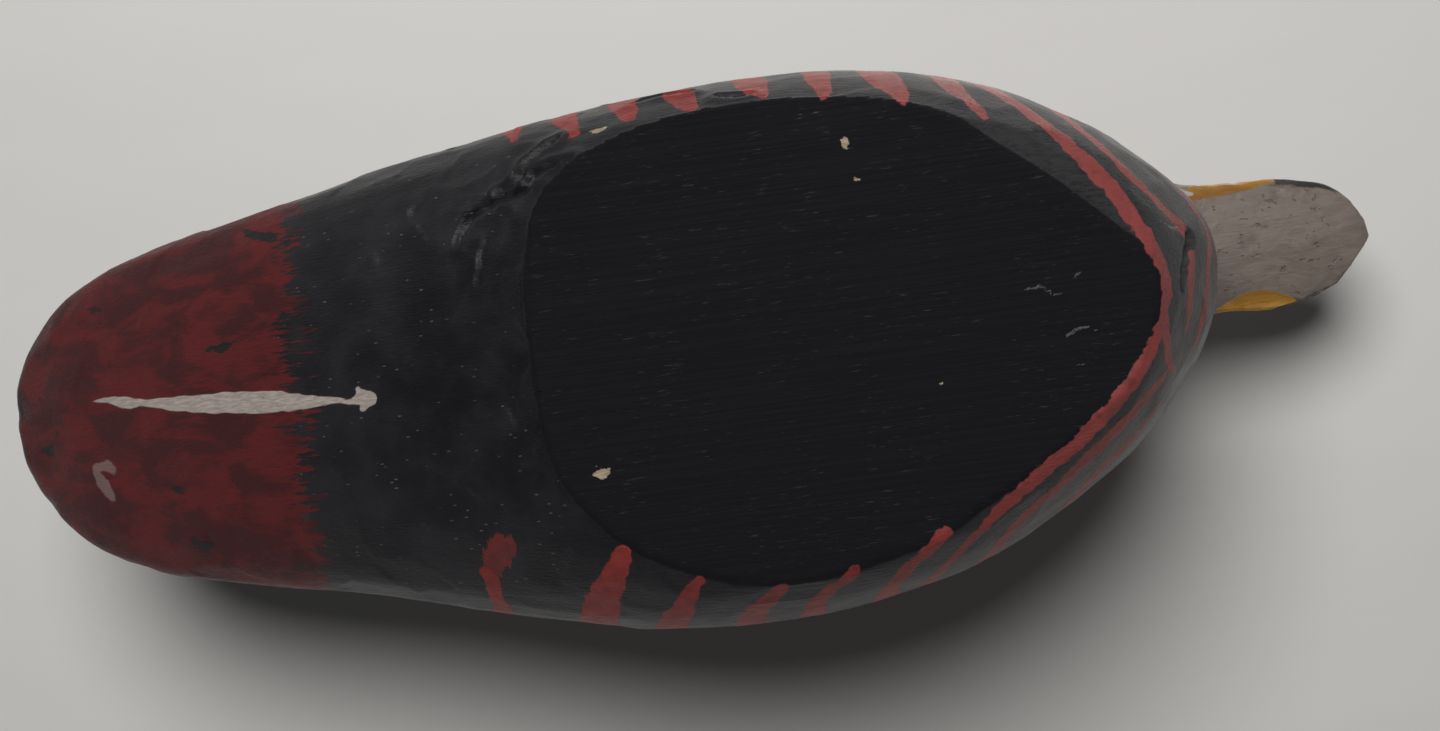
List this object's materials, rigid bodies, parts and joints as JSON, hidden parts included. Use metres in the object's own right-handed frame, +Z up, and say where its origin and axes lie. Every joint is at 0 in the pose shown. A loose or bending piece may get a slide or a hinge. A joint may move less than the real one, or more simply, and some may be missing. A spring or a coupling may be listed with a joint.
{
  "type": "carved wooden duck",
  "caption": "Hand-carved and painted wooden duck that stands on its flat underside, with a turning head on a wooden neck peg and inset glass eyes.",
  "frame": {"origin": "on the surface it stands on, under the middle of the duck's bounding box", "axes": "+X towards the bill, +Y towards the duck's left side, +Z up"},
  "size_m": [0.285, 0.1038, 0.123],
  "materials": {
    "body_paint": "hand-brushed satin black and brick-red paint over carved wood, worn through in places",
    "head_paint": "hand-brushed satin black, taupe-grey, ochre and white paint over carved wood",
    "bare_wood": "turned bare beech, matt",
    "glass_eye": "polished glass dome painted brown at the back"
  },
  "bodies": {
    "body": {"body": "body_paint"},
    "head": {"head": "head_paint", "neck_peg": "bare_wood", "eye_left": "glass_eye", "eye_right": "glass_eye"}
  },
  "joints": [
    {"name": "head_turn", "type": "hinge", "parent": "body", "child": "head", "pos_m": [0.0585, -0.005, 0.076], "axis": [0, 0, 1], "range_deg": [-90, 90]}
  ]
}
